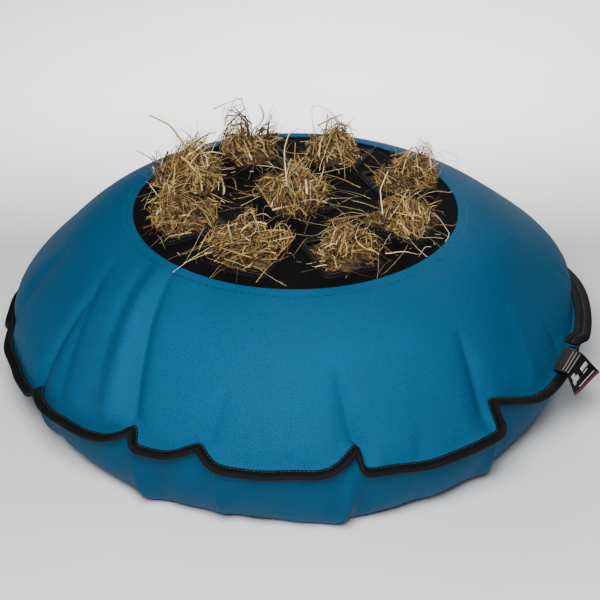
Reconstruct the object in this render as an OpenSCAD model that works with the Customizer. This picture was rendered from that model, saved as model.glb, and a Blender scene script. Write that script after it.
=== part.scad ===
// Round ground feeder bag for hay: two round fabric covers sewn together at the rim,
// a feed panel with square holes in the top, and a filling mouth at the right-hand side.
// The origin is the centre of the flat underside, where the bag rests on the ground.

/* [Covers] */
// Radius of the sewn seam that joins the two covers
seam_r = 346; // [320:1:380]
// Height of the seam above the ground, filled
seam_z = 115; // [100:1:125]
// Height of the middle of the top, without the hay tufts
crown_z = 252; // [240:1:265]
// Radius of the flat patch that the bag rests on
rest_r = 255; // [235:1:270]
// Thickness of the cover fabric with its coating
cover_t = 1.5; // [1:0.1:2]

/* [Feed panel] */
// Radius of the feed panel inside its seam
panel_r = 198; // [194:1:205]
// Thickness of the panel fabric
panel_t = 1.2; // [1:0.1:1.5]
// Clear side of each square feed hole
hole_side = 64; // [56:1:66]
// Radius of the ring of feed holes
hole_ring_r = 139; // [137:1:141]
// Width of the tape that binds each hole
hole_tape_w = 8; // [6:0.5:9]

/* [Rim binding] */
// Thickness of the binding tape
tape_t = 1.2; // [1:0.1:1.4]
// Width of the folded binding, measured along the radius
binding_w = 12.5; // [12:0.5:14]

/* [Filling mouth] */
// Direction of the middle of the mouth, from the bag's right-hand side
mouth_dir = 16; // [10:1:20]
// Half of the angle that the mouth takes up
mouth_half = 34; // [30:1:36]
// How far the mouth's lips stand out from the seam
lip_w = 22; // [20:1:24]
// Width of the hook strip and the loop strip
strip_w = 9.5; // [8:0.5:10]

/* [Label] */
// Direction of the label, from the bag's right-hand side
label_dir = -24; // [-26:1:-24]
// Width of the label along the seam
label_w = 50; // [40:1:50]
// Length of the label's part that hangs over the binding
label_drop = 28; // [20:1:30]

/* [Hidden] */
shoulder_power = 6;       // how square the filled shoulder is
shoulder_blend = 1.64;    // how softly the shoulder runs out to the seam
profile_steps = 14;
panel_steps = 8;
big = 900;
panel_lap = 10;           // panel edge that lies under the top cover
ring_holes = 8;
hole_tape_t = 1;
seam_gap = 0.5;           // from the seam to the binding's inner edge
edge_r = seam_r + seam_gap + binding_w - tape_t;
lip_r = seam_r + lip_w;
strip_t = 1.4;
lip_gap = 0.3;            // free gap between the closed lips
lip_lift = 2 * strip_t + lip_gap;
lip_inset = 0.6;          // angle left free at each end of the mouth
flap_inset = 1.2;         // the same for the pieces that lift
fold_gap = 0.8;
fold_x = seam_r * cos(mouth_half);  // straight fold line from one end of the mouth to the other
fill_clear = 1;
fill_turn = 45;           // where the hay's side leaves the bottom cover
label_t = 1.6;
label_seat = 14.5;        // part of the label that lies on the binding
label_slope = 40;
tack_w = 3;
tack_t = 0.8;
tuft_clear = 1.5;
tuft_base_z = crown_z - 3.8;
tuft_foot_z = crown_z;

// Radius and height of each hay tuft: the middle one, then the ring from the front right
tufts = [[42, 66], [38, 50], [44, 60], [36, 45], [34, 62], [32, 72], [50, 75], [34, 58], [46, 60]];

// Share of the shoulder's height at a share of its radius
function bulge(s) = pow(max(0, 1 - pow(min(1, s), shoulder_power)), shoulder_blend);
function top_out(r) = seam_z + cover_t + (crown_z - seam_z - cover_t) * bulge(r / seam_r);
function top_in(r) = seam_z + (crown_z - cover_t - seam_z) * bulge(r / (seam_r - cover_t));
// How far the flap is raised above the lower lip, from nothing at the fold
function lift(r) = lip_lift * (r - fold_x) / (seam_r - fold_x);
function fill_top(r) = top_in(r) - panel_t - hole_tape_t - 0.3;
function spread(from, to, steps) = [for (i = [0 : steps]) from + (to - from) * i / steps];
function reversed(list) = [for (i = [len(list) - 1 : -1 : 0]) list[i]];
// Point on the round side of the bottom cover, t = 0 at the flat patch and 90 at the seam
function side_out(t) = [rest_r + (seam_r - rest_r) * sin(t), (seam_z - cover_t) * (1 - cos(t))];
function side_in(t) = [
    rest_r + (seam_r - cover_t - rest_r) * sin(t),
    cover_t + (seam_z - cover_t) * (1 - cos(t))
];
// Place and turn of feed hole number i: 0 is the middle one, the rest go round the ring
function hole_r(i) = i == 0 ? 0 : hole_ring_r;
function hole_turn(i) = (i == 0 ? 0.5 : i - 0.5) * 360 / ring_holes - 90;

module spin(profile) {
    rotate_extrude($fn = 180) polygon(profile);
}

// Part of a body of revolution between two directions
module spin_between(from, to) {
    rotate([0, 0, from]) rotate_extrude(angle = to - from, $fn = 180) children();
}

// A flat-topped ring between two radii and two heights, over the mouth only
module mouth_ring(r1, r2, z1, z2, inset) {
    spin_between(mouth_dir - mouth_half + inset, mouth_dir + mouth_half - inset)
        translate([r1, z1]) square([r2 - r1, z2 - z1]);
}

// Everything outside the fold line, over the mouth only
module flap_zone(inset, gap) {
    intersection() {
        spin_between(mouth_dir - mouth_half + inset, mouth_dir + mouth_half - inset)
            translate([fold_x - 10, seam_z - 5]) square([200, 200]);
        rotate([0, 0, mouth_dir]) translate([fold_x - gap, -big / 2, 0]) cube(big);
    }
}

// Layer above the inside face of the top, used for the panel and what is sewn to it
module panel_layer(low, high) {
    radii = spread(0, panel_r + panel_lap, panel_steps);
    spin(concat(
        [for (r = radii) [r, top_in(r) + low]],
        [for (r = reversed(radii)) [r, top_in(r) + high]]
    ));
}

// Upright square column at feed hole number i
module hole_column(i, side) {
    rotate([0, 0, hole_turn(i)])
        translate([hole_r(i), 0, crown_z])
        cube([side, side, 60], center = true);
}

module bottom_cover() {
    turns = spread(0, 90, profile_steps);
    color([0.07, 0.35, 0.47]) {
        spin(concat(
            [[0, 0]],
            [for (t = turns) side_out(t)],
            [[edge_r, seam_z - cover_t], [edge_r, seam_z]],
            [for (t = reversed(turns)) side_in(t)],
            [[0, cover_t]]
        ));
        mouth_ring(edge_r - 1, lip_r, seam_z - cover_t, seam_z, lip_inset);
    }
}

module top_cover() {
    radii = spread(panel_r, seam_r, profile_steps);
    color([0.09, 0.42, 0.57]) difference() {
        spin(concat(
            [for (r = radii) [r, top_out(r)]],
            [[edge_r, seam_z + cover_t], [edge_r, seam_z]],
            [for (r = reversed(radii)) [r, top_in(r)]]
        ));
        flap_zone(0, fold_gap);
    }
}

module mouth_flap() {
    radii = spread(fold_x - 1, seam_r, profile_steps);
    color([0.09, 0.42, 0.57]) intersection() {
        spin_between(mouth_dir - mouth_half, mouth_dir + mouth_half) polygon(concat(
            [for (r = radii) [r, top_out(r) + lift(r)]],
            [[lip_r, seam_z + cover_t + lip_lift], [lip_r, seam_z + lip_lift]],
            [for (r = reversed(radii)) [r, top_in(r) + lift(r)]]
        ));
        flap_zone(flap_inset, 0);
    }
}

module feed_panel() {
    color([0.06, 0.05, 0.06]) difference() {
        panel_layer(-panel_t, 0);
        for (i = [0 : ring_holes]) hole_column(i, hole_side + 2 * hole_tape_t);
    }
}

// Folded tape round feed hole number i
module hole_binding(i) {
    color([0.07, 0.07, 0.08]) difference() {
        intersection() {
            panel_layer(-panel_t - hole_tape_t, hole_tape_t);
            hole_column(i, hole_side + 2 * hole_tape_w);
        }
        hole_column(i, hole_side);
        difference() {
            panel_layer(-panel_t, 0);
            hole_column(i, hole_side + 2 * hole_tape_t);
        }
    }
}

// Tape folded round a flat edge that lies between two heights
module folded_tape(inner_r, cloth_r, low, high) {
    difference() {
        translate([inner_r, low - tape_t])
            square([cloth_r + tape_t - inner_r, high - low + 2 * tape_t]);
        translate([inner_r - 1, low]) square([cloth_r - inner_r + 1, high - low]);
    }
}

module rim_binding() {
    color([0.07, 0.07, 0.09])
        spin_between(mouth_dir + mouth_half, mouth_dir - mouth_half + 360)
        folded_tape(seam_r + seam_gap, edge_r, seam_z - cover_t, seam_z + cover_t);
}

// Binding of one lip of the mouth
module lip_binding(low, inset) {
    color([0.07, 0.07, 0.09])
        spin_between(mouth_dir - mouth_half + inset, mouth_dir + mouth_half - inset)
        folded_tape(seam_r + strip_w + 1.5, lip_r, low, low + cover_t);
}

module upper_lip_binding() {
    lip_binding(seam_z + lip_lift, flap_inset);
}

module lower_lip_binding() {
    lip_binding(seam_z - cover_t, lip_inset);
}

module loop_strip() {
    color([0.1, 0.1, 0.11])
        mouth_ring(seam_r + 1, seam_r + 1 + strip_w, seam_z + strip_t + lip_gap,
            seam_z + lip_lift, flap_inset);
}

module hook_strip() {
    color([0.05, 0.05, 0.06])
        mouth_ring(seam_r + 1, seam_r + 1 + strip_w, seam_z, seam_z + strip_t, lip_inset);
}

// Short thick stitch across the rim binding at one end of the mouth
module mouth_tack(direction) {
    color([0.16, 0.15, 0.15])
        rotate([0, 0, direction])
        translate([seam_r + 1, -tack_w / 2, seam_z + cover_t + tape_t])
        cube([binding_w - 4, tack_w, tack_t]);
}

// Folded label: a part that lies on the binding and a part that hangs over it
module side_label() {
    seat_z = seam_z + cover_t + tape_t + lip_gap;
    bend = [seam_r + 1 + label_seat, seat_z];
    tip = bend + label_drop * [cos(label_slope), -sin(label_slope)];
    rise = label_t * [sin(label_slope), cos(label_slope)];
    color([0.1, 0.1, 0.12])
        rotate([0, 0, label_dir]) rotate([90, 0, 0])
        linear_extrude(height = label_w, center = true)
        polygon([
            [seam_r + 1, seat_z], bend, tip, tip + rise,
            bend + label_t * [tan(label_slope / 2), 1], [seam_r + 1, seat_z + label_t]
        ]);
}

module hay_fill() {
    turns = spread(0, fill_turn, 5);
    side = [for (t = turns) side_in(t) + fill_clear * [-1, 1]];
    fill_r = side[len(side) - 1][0];
    color([0.5, 0.4, 0.22]) spin(concat(
        [[0, cover_t + fill_clear]],
        side,
        [for (r = reversed(spread(0, fill_r, profile_steps))) [r, fill_top(r)]]
    ));
}

// Hay that stands out of feed hole number i
module hay_tuft(i) {
    r = tufts[i][0];
    h = tufts[i][1];
    side = hole_side - 2 * tuft_clear;
    color([0.62, 0.5, 0.3])
        rotate([0, 0, hole_turn(i)]) translate([hole_r(i), 0, 0]) {
            translate([-side / 2, -side / 2, tuft_base_z])
                cube([side, side, tuft_foot_z - tuft_base_z + 2]);
            translate([0, 0, tuft_foot_z]) spin(concat(
                [[0, 0]],
                [for (t = spread(0, 90, 8)) [r * cos(t), h * sin(t)]]
            ));
        }
}

bottom_cover();
top_cover();
mouth_flap();
feed_panel();
rim_binding();
upper_lip_binding();
lower_lip_binding();
loop_strip();
hook_strip();
mouth_tack(mouth_dir - mouth_half - 1.2);  // mouth_tack_front
mouth_tack(mouth_dir + mouth_half + 1.2);  // mouth_tack_rear
side_label();
hay_fill();
for (i = [0 : ring_holes]) {
    hole_binding(i);
    hay_tuft(i);
}
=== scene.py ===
"""Looks of the round ground hay bag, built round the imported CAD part.

Lengths are in metres and angles in degrees. Directions run round +Z, with +X at 0 and -Y, the front, at -90.
"""

import math

import bpy
import numpy as np
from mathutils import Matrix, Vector, geometry
from mathutils.bvhtree import BVHTree


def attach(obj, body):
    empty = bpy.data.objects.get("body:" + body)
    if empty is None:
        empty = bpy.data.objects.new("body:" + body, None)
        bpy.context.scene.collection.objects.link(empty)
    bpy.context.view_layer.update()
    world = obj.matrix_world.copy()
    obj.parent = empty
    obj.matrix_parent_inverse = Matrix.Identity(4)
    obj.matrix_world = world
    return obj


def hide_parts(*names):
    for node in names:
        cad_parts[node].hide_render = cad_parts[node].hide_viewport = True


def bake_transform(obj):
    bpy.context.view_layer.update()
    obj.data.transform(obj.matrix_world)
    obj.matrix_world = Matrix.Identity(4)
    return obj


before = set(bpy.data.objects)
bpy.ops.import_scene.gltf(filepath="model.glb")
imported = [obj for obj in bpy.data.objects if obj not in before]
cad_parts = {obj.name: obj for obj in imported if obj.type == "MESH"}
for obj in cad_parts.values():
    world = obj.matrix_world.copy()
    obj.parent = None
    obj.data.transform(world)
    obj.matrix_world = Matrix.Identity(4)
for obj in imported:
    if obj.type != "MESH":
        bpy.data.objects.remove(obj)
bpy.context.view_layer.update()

# Shape of the CAD part, repeated from its source
SEAM_R = 0.346
SEAM_Z = 0.115
CROWN_Z = 0.252
COVER_T = 0.0015
SHOULDER_POWER, SHOULDER_BLEND = 6, 1.64
PANEL_R = 0.207  # outer edge of the panel, under the top cover's fold
HOLE_SIDE = 0.064
HOLE_RING_R = 0.139
MOUTH_DIR, MOUTH_HALF = 16, 34
MOUTH_ENDS = (MOUTH_DIR - MOUTH_HALF, MOUTH_DIR + MOUTH_HALF)
STRIP_W = 0.0095
LIP_R = 0.368
FOLD_X = SEAM_R * math.cos(math.radians(MOUTH_HALF))
LABEL_DIR = -24

# Grids of the visual pieces
COLUMNS = 480  # round the covers
TOP_ROWS = 44
SIDE_ROWS = 30
FINE = 7200  # steps of the rim's line
TAPE_STATIONS = 1100  # round the whole rim
SLOW = 14  # columns over which the rim's slow waves are told from its sharp ones

# Sewing of the rim
EDGE_R = 0.198  # folded edge of the top cover round the panel
FLANGE = 0.0112  # width of the covers' edges inside the binding
LIP_INSET = 0.0006  # from the lips' outer edge to the cloth inside their tape
HALF_GAP = 0.0008  # from the seam to the middle of each cover's edge
LIP_LIFT = 0.0034  # how far the upper lip lies above the seam
CORNER_R = 0.004  # rounding of the holes' corners
STITCH_STEP, STITCH_LENGTH = 0.0042, 0.0031
RIM_TAPE_START = 0.0004  # from the seam to the binding's inner edge
# Folded tape of the rim and of the lips: width, half its thickness
RIM_TAPE, LIP_TAPE = (0.0127, 0.0026), (0.0122, 0.0019)
# Stitches on those tapes: distance outwards, height, thickness
RIM_STITCHES, LIP_STITCHES = (0.0029, 0.0024, 0.00042), (0.0028, 0.0018, 0.0004)

# Height of the rim at rest between its pleats, by direction
RIM_HEIGHTS = [
    (-176, 0.072), (-164, 0.069), (-150, 0.080), (-138, 0.091), (-126, 0.101), (-117, 0.1075),
    (-110, 0.105), (-97, 0.107), (-86, 0.1045), (-76, 0.105), (-70, 0.102), (-62, 0.094),
    (-50, 0.100), (-40, 0.101), (-30, 0.100), (-18, 0.113), (0, 0.111), (10, 0.107), (22, 0.099),
    (50, 0.093), (70, 0.095), (95, 0.094), (118, 0.100), (140, 0.096), (162, 0.084),
]
# Pleats that the seam takes up: direction, rise, inward pull, width before and after, lean
PLEATS = [
    (-151, 0.009, 0.009, 0.8, 1.8, 0.0),
    (-121.6, 0.020, 0.010, 4.2, 0.7, 0.6),
    (-107.5, 0.018, 0.011, 4.5, 2.2, 0.0),
    (-79.2, 0.024, 0.015, 3.0, 0.8, 0.6),
    (-47.5, 0.033, 0.018, 0.9, 8.0, -2.0),
    (63, 0.022, 0.013, 1.0, 4.5, -1.0),
    (88, 0.018, 0.010, 4.6, 1.2, 0.4),
    (113, 0.026, 0.014, 1.0, 6.0, -2.0),
    (137, 0.017, 0.010, 3.5, 2.0, 0.0),
    (161, 0.024, 0.013, 4.6, 0.9, 0.5),
    (-176, 0.016, 0.008, 2.5, 1.5, 0.0),
]
# How much further out than the CAD's the seam lies, by direction
RIM_OUT = [
    (-180, 0.017), (-172, 0.011), (-164, -0.001), (-155, -0.001), (-140, 0.0), (-60, 0.0),
    (-5, 0.0), (7, 0.003), (22, -0.007), (32, -0.002), (45, 0.0), (150, 0.004),
]
# How much fuller than the CAD's round profile the top cover is, by direction
FULLNESS = [
    (-180, 0.020), (-160, 0.014), (-135, 0.009), (-110, 0.004), (-60, 0.002), (-35, 0.001), (-14, 0.003),
    (8, 0.027), (24, 0.034), (40, 0.028), (65, 0.013), (110, 0.010), (150, 0.017), (168, 0.022),
]
# Folds that run down the top cover to the rim: direction at the rim, direction and radius where they
# start, depth, width, and 1 for a broad lit step beside the fold
FOLDS = [
    (-121.5, -132, 0.205, 0.0125, 0.010, 1),
    (-131, -143, 0.225, -0.0060, 0.018, 0),
    (-141, -152, 0.235, 0.0060, 0.012, 0),
    (-107, -104, 0.290, 0.0075, 0.011, 0),
    (-78.6, -81, 0.275, 0.0110, 0.010, 0),
    (-50.5, -49, 0.272, 0.0110, 0.012, 0),
    (-151, -149, 0.262, 0.0100, 0.010, 0),
    (-91, -96, 0.280, -0.0035, 0.022, 0),
    (-36, -29, 0.280, -0.0050, 0.016, 0),
    (-67, -62, 0.290, 0.0030, 0.013, 0),
    (-22, -20, 0.290, 0.0040, 0.012, 0),
    (63, 60, 0.250, 0.0120, 0.011, 0),
    (76, 74, 0.285, -0.0050, 0.014, 0),
    (88, 91, 0.265, 0.0090, 0.012, 0),
    (112, 116, 0.235, 0.0110, 0.011, 1),
    (137, 135, 0.265, 0.0090, 0.012, 0),
    (149, 150, 0.285, -0.0045, 0.014, 0),
    (161, 158, 0.250, 0.0110, 0.011, 0),
    (-176, -173, 0.262, 0.0080, 0.012, 0),
]
# Corners of the ground contact, which the taut cloth joins in straight lines: direction, radius
GROUND_CORNERS = [
    (-155, 0.292), (-122, 0.296), (-83, 0.298), (-45, 0.291), (-10, 0.286), (28, 0.290),
    (66, 0.288), (104, 0.291), (140, 0.292), (176, 0.296),
]
# Ridges in the bottom cover from a pleat down to a corner: direction at the rim and at the ground,
# height, width
RIDGES = [
    (-121, -122, 0.0110, 0.012), (-104, -106, 0.0070, 0.010), (-92, -96, -0.0040, 0.016),
    (-79.5, -83, 0.0120, 0.010), (-66, -64, -0.0040, 0.016), (-49, -45, 0.0095, 0.012),
    (-16, -10, 0.0065, 0.014), (-151, -155, 0.0055, 0.012), (28, 28, 0.0060, 0.014),
    (63, 66, 0.0095, 0.012), (88, 86, 0.0055, 0.013), (113, 106, 0.0095, 0.012),
    (137, 140, 0.0070, 0.013), (161, 160, 0.0070, 0.013), (-176, -184, 0.0070, 0.013),
]


# ---------------------------------------------------------------- points and lines


def around(angles, centre):
    """Angle from centre, between -180 and 180."""
    return (angles - centre + 180) % 360 - 180


def polar(r, turn, z):
    a = np.radians(turn)
    return np.stack(np.broadcast_arrays(r * np.cos(a), r * np.sin(a), z), -1)


def unit(v):
    return v / np.maximum(np.linalg.norm(v, axis=-1, keepdims=True), 1e-12)


def run_of(points):
    """Length along a line of points, from 0 at its start."""
    return np.concatenate([[0], np.cumsum(np.linalg.norm(np.diff(points, axis=0), axis=1))])


def pairs(a, b):
    """A grid of pairs: every value of a with every value of b."""
    return np.stack(np.broadcast_arrays(np.asarray(a)[:, None], np.asarray(b)[None, :]), -1)


def ring_turns(count):
    return np.linspace(-180, 180, count, endpoint=False)


def smooth_ring(values, width):
    """Values round the ring, averaged over a width in samples."""
    k = np.fft.rfftfreq(values.shape[0])
    keep = np.exp(-2 * (math.pi * width * k) ** 2)
    if values.ndim > 1:
        keep = keep[:, None]
    return np.fft.irfft(np.fft.rfft(values, axis=0) * keep, values.shape[0], axis=0)


def smooth_rows(grid, width):
    """A grid of points that closes round the ring, with each row averaged over a width in columns."""
    rows, columns = grid.shape[:2]
    flat = smooth_ring(grid.transpose(1, 0, 2).reshape(columns, -1), width)
    return flat.reshape(columns, rows, 3).transpose(1, 0, 2)


def ring_values(table, count, soft):
    """A table of directions and values, at even steps round the ring and averaged over soft degrees."""
    at = np.array(table)
    values = np.interp(ring_turns(count), at[:, 0], at[:, 1], period=360)
    return smooth_ring(values, soft * count / 360)


# ---------------------------------------------------------------- the part's own curves


def bulge(share):
    return np.maximum(0, 1 - np.minimum(1, share) ** SHOULDER_POWER) ** SHOULDER_BLEND


def top_out(r):
    """Height of the top cover's outer face in the CAD."""
    return SEAM_Z + COVER_T + (CROWN_Z - SEAM_Z - COVER_T) * bulge(r / SEAM_R)


def top_in(r):
    """Height of the top cover's inner face in the CAD."""
    return SEAM_Z + (CROWN_Z - COVER_T - SEAM_Z) * bulge(r / (SEAM_R - COVER_T))


def in_mouth(turn, soft, inset=0.0):
    """1 in the mouth and 0 outside it."""
    edge = MOUTH_HALF - inset - np.abs(around(turn, MOUTH_DIR))
    return 1 / (1 + np.exp(-4 * edge / soft))


def flange_length(turn):
    """How far the covers' edges stand out from the seam, inside the binding."""
    return FLANGE + (LIP_R - SEAM_R - FLANGE - LIP_INSET) * in_mouth(turn, 2.0, 2.5)


def rim_waves(turn):
    """Small unevenness of the sewn rim."""
    a = np.radians(turn)
    slow = np.sin(7 * a + 1.1) + 0.8 * np.sin(13 * a + 2.0)
    return slow + 0.6 * np.sin(23 * a + 0.4) + 0.5 * np.sin(37 * a + 4.1)


def rim_track():
    """Direction, radius and height of the seam between the covers, at even steps of direction."""
    turn = ring_turns(FINE)
    height = ring_values(RIM_HEIGHTS, FINE, 3)
    radius = SEAM_R + ring_values(RIM_OUT, FINE, 5)
    calm = 1 - in_mouth(turn, 6)
    height += 0.0012 * rim_waves(turn) * calm
    radius += 0.0010 * rim_waves(turn + 50) * calm
    out = turn.copy()
    for centre, rise, inward, before, after, lean in PLEATS:
        x = around(turn, centre)
        hump = np.exp(-(np.abs(x) / np.where(x < 0, before, after)) ** 1.4)
        height += rise * hump
        radius -= inward * hump
        out += lean * hump
    step = FINE * 0.33 / 360
    return turn + smooth_ring(out - turn, step), smooth_ring(radius, step), smooth_ring(height, step)


RIM_TURN, RIM_RADIUS, RIM_HEIGHT = rim_track()


def rim_columns(count):
    """The seam at count places that are evenly spaced along its length: direction, radius, height."""
    points = polar(RIM_RADIUS, RIM_TURN, RIM_HEIGHT)
    steps = np.linalg.norm(np.roll(points, -1, 0) - points, axis=1)
    along = np.concatenate([[0], np.cumsum(steps)])
    wanted = np.linspace(0, along[-1], count, endpoint=False)
    ends = (RIM_TURN[0] + 360, RIM_RADIUS[0], RIM_HEIGHT[0])
    tracks = zip((RIM_TURN, RIM_RADIUS, RIM_HEIGHT), ends)
    return [np.interp(wanted, along, np.append(values, end)) for values, end in tracks]


def rim_frame(turn, radius, height):
    """Points on the seam, and there the ways along it, outwards and up through the flange."""
    points = polar(radius, turn, height)
    along = unit(np.roll(points, -1, 0) - np.roll(points, 1, 0))
    out = polar(np.ones_like(turn), turn, np.full_like(turn, -0.10))
    out = unit(out - along * (out * along).sum(-1, keepdims=True))
    out = unit(smooth_ring(out, 1.5))
    return points, along, out, unit(np.cross(out, along))


def part_of_rim(first, last):
    """The rim's frame and directions for the stretch from one direction to another."""
    turn, radius, height = rim_columns(TAPE_STATIONS)
    inside = np.mod(turn - first, 360)
    order = (np.arange(TAPE_STATIONS) + int(np.argmin(inside))) % TAPE_STATIONS
    keep = inside[order] <= last - first
    order = order[: int(np.argmin(keep)) if not keep.all() else TAPE_STATIONS]
    return [values[order] for values in (*rim_frame(turn, radius, height), turn)]


# ---------------------------------------------------------------- meshes


def mesh_object(name, verts, faces, material=None, uvs=None, smooth=True, tones=None):
    """A mesh object from arrays. uvs is one pair for each vertex, tones one material index for each face."""
    me = bpy.data.meshes.new(name)
    me.from_pydata(np.asarray(verts).reshape(-1, 3).tolist(), [], faces)
    if uvs is not None:
        layer = me.uv_layers.new(name="Cloth")
        loops = np.zeros(len(me.loops), np.int32)
        me.loops.foreach_get("vertex_index", loops)
        layer.data.foreach_set("uv", np.asarray(uvs, np.float32).reshape(-1, 2)[loops].ravel())
    for m in material if isinstance(material, list) else [material]:
        if m is not None:
            me.materials.append(m)
    if tones is not None:
        me.polygons.foreach_set("material_index", np.asarray(tones, np.int32))
    if smooth:
        me.polygons.foreach_set("use_smooth", np.ones(len(me.polygons), bool))
    me.update()
    ob = bpy.data.objects.new(name, me)
    bpy.context.collection.objects.link(ob)
    return ob


def fixed(ob, stands_for=None, body="root"):
    """Fixes a piece to a body and hides the CAD node that it stands for."""
    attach(ob, body)
    if stands_for:
        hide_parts(stands_for)


def grid_faces(rows, columns, ring=True, flip=False):
    """Four-sided faces of a grid of rows by columns; with ring, the last column joins the first."""
    i, j = np.meshgrid(np.arange(rows - 1), np.arange(columns if ring else columns - 1), indexing="ij")
    k = (j + 1) % columns
    faces = np.stack([i * columns + j, (i + 1) * columns + j, (i + 1) * columns + k, i * columns + k], -1)
    if flip:
        faces = faces[..., ::-1]
    return faces.reshape(-1, 4).tolist()


def closed_grid_faces(rows, columns):
    """Faces of a ring grid with its first and last rows filled in."""
    last = (rows - 1) * columns
    caps = [list(range(columns)), list(range(last, last + columns))[::-1]]
    return grid_faces(rows, columns) + caps


def sweep(sections, ring=False):
    """Vertices and faces of closed sections (stations, points, 3) joined one after another.

    A sweep that isn't a ring has a face at each end.
    """
    stations, points = sections.shape[:2]
    count = stations if ring else stations - 1
    i, j = np.meshgrid(np.arange(count), np.arange(points), indexing="ij")
    n, m = (i + 1) % stations, (j + 1) % points
    faces = np.stack([i * points + j, i * points + m, n * points + m, n * points + j], -1)
    faces = faces.reshape(-1, 4).tolist()
    if not ring:
        last = (stations - 1) * points
        faces += [list(range(points))[::-1], list(range(last, last + points))]
    return sections.reshape(-1, 3), faces


def refined(grid):
    """A grid that closes round the ring, with a smooth row and column added between each two."""
    before = np.concatenate([grid[:1], grid[:-1]])
    after = np.concatenate([grid[1:], grid[-1:]])
    after_next = np.concatenate([after[1:], after[-1:]])
    rows = np.empty((2 * len(grid) - 1, *grid.shape[1:]))
    rows[0::2] = grid
    rows[1::2] = (-before + 9 * grid + 9 * after - after_next)[:-1] / 16
    full = np.empty((len(rows), 2 * grid.shape[1], grid.shape[2]))
    full[:, 0::2] = rows
    near = rows + np.roll(rows, -1, 1)
    far = np.roll(rows, 1, 1) + np.roll(rows, -2, 1)
    full[:, 1::2] = (9 * near - far) / 16
    return full


def joined(parts):
    """One list of vertices and faces from several."""
    verts, faces, base = [], [], 0
    for v, f in parts:
        verts.append(np.asarray(v).reshape(-1, 3))
        faces += [[n + base for n in face] for face in f]
        base += len(verts[-1])
    return np.concatenate(verts), faces


# ---------------------------------------------------------------- materials


def material(name, roughness, **sockets):
    mat = bpy.data.materials.new(name)
    mat.use_nodes = True
    shader = mat.node_tree.nodes["Principled BSDF"]
    shader.inputs["Roughness"].default_value = roughness
    for socket, value in sockets.items():
        shader.inputs[socket.replace("_", " ")].default_value = value
    return mat, mat.node_tree, shader


def colour(*srgb):
    """Linear colour from sRGB values out of 255."""
    return tuple(((c / 255 + 0.055) / 1.055) ** 2.4 if c > 10 else c / 255 / 12.92 for c in srgb) + (1.0,)


def math_node(tree, operation, a, b):
    made = tree.nodes.new("ShaderNodeMath")
    made.operation = operation
    for n, value in enumerate([a, b]):
        if isinstance(value, (int, float)):
            made.inputs[n].default_value = value
        else:
            tree.links.new(value, made.inputs[n])
    return made.outputs[0]


def mixed(tree, a, b, share):
    """a and b in the proportion of 1 - share to share."""
    return math_node(tree, "ADD", math_node(tree, "MULTIPLY", a, 1 - share),
                     math_node(tree, "MULTIPLY", b, share))


def object_place(tree):
    return tree.nodes.new("ShaderNodeTexCoord").outputs["Object"]


def mapped(tree, vector, scale, turn):
    mapping = tree.nodes.new("ShaderNodeMapping")
    mapping.inputs["Scale"].default_value = scale
    mapping.inputs["Rotation"].default_value = [math.radians(a) for a in turn]
    tree.links.new(vector, mapping.inputs[0])
    return mapping.outputs[0]


def cloth_place(tree, pitch, turn=0.0):
    """The cloth's own coordinates, so scaled that bands lie pitch apart; Blender's repeat every pi / 10."""
    uv = tree.nodes.new("ShaderNodeUVMap")
    uv.uv_map = "Cloth"
    scale = math.pi / 10 / pitch
    return mapped(tree, uv.outputs[0], (scale, scale, 1), (0, 0, turn))


def yarns(tree, vector, direction):
    wave = tree.nodes.new("ShaderNodeTexWave")
    wave.wave_type, wave.bands_direction, wave.wave_profile = "BANDS", direction, "SIN"
    wave.inputs["Scale"].default_value = 1.0
    tree.links.new(vector, wave.inputs["Vector"])
    return wave.outputs["Fac"]


def noise_of(tree, vector, scale, detail=3.0):
    made = tree.nodes.new("ShaderNodeTexNoise")
    made.inputs["Scale"].default_value = scale
    made.inputs["Detail"].default_value = detail
    tree.links.new(vector, made.inputs["Vector"])
    return made.outputs["Fac"]


def paint(tree, shader, value, stops):
    """Base colour from a value, through a ramp of places and colours."""
    made = tree.nodes.new("ShaderNodeValToRGB")
    elements = made.color_ramp.elements
    elements[0].position, elements[0].color = stops[0]
    elements[1].position, elements[1].color = stops[-1]
    for at, c in stops[1:-1]:
        elements.new(at).color = c
    tree.links.new(value, made.inputs[0])
    tree.links.new(made.outputs[0], shader.inputs["Base Color"])


def bump(tree, shader, height, strength, distance):
    made = tree.nodes.new("ShaderNodeBump")
    made.inputs["Strength"].default_value = strength
    made.inputs["Distance"].default_value = distance
    tree.links.new(height, made.inputs["Height"])
    tree.links.new(made.outputs[0], shader.inputs["Normal"])


def woven(name, dark, light, pitch, roughness, fade=0.25, strength=0.35, twill=0.0, **sockets):
    """A plain weave with yarns pitch apart, slanted rows of dots, and slow unevenness of its colour."""
    mat, tree, shader = material(name, roughness, **sockets)
    fine = cloth_place(tree, pitch)
    weave = math_node(tree, "MULTIPLY", yarns(tree, fine, "X"), yarns(tree, fine, "Y"))
    if twill:
        slant = cloth_place(tree, pitch * 2.2, 45)
        dots = math_node(tree, "MULTIPLY", yarns(tree, slant, "X"), yarns(tree, slant, "Y"))
        weave = mixed(tree, weave, dots, twill)
    spot = object_place(tree)
    faded = mixed(tree, weave, noise_of(tree, spot, 9.0, 4.0), fade)
    speckled = mixed(tree, faded, noise_of(tree, spot, 420.0, 2.0), 0.25)
    paint(tree, shader, speckled, [(0.12, dark), (0.75, light)])
    bump(tree, shader, weave, strength, 0.0006)
    return mat


def ribbed(name, dark, light, pitch, roughness, **sockets):
    """Ribbed tape: ribs across its length, which is the first UV direction."""
    mat, tree, shader = material(name, roughness, **sockets)
    ribs = yarns(tree, cloth_place(tree, pitch), "X")
    rub = noise_of(tree, object_place(tree), 60.0, 4.0)
    paint(tree, shader, mixed(tree, ribs, rub, 0.5), [(0.2, dark), (0.9, light)])
    bump(tree, shader, ribs, 0.5, 0.0005)
    return mat


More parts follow.
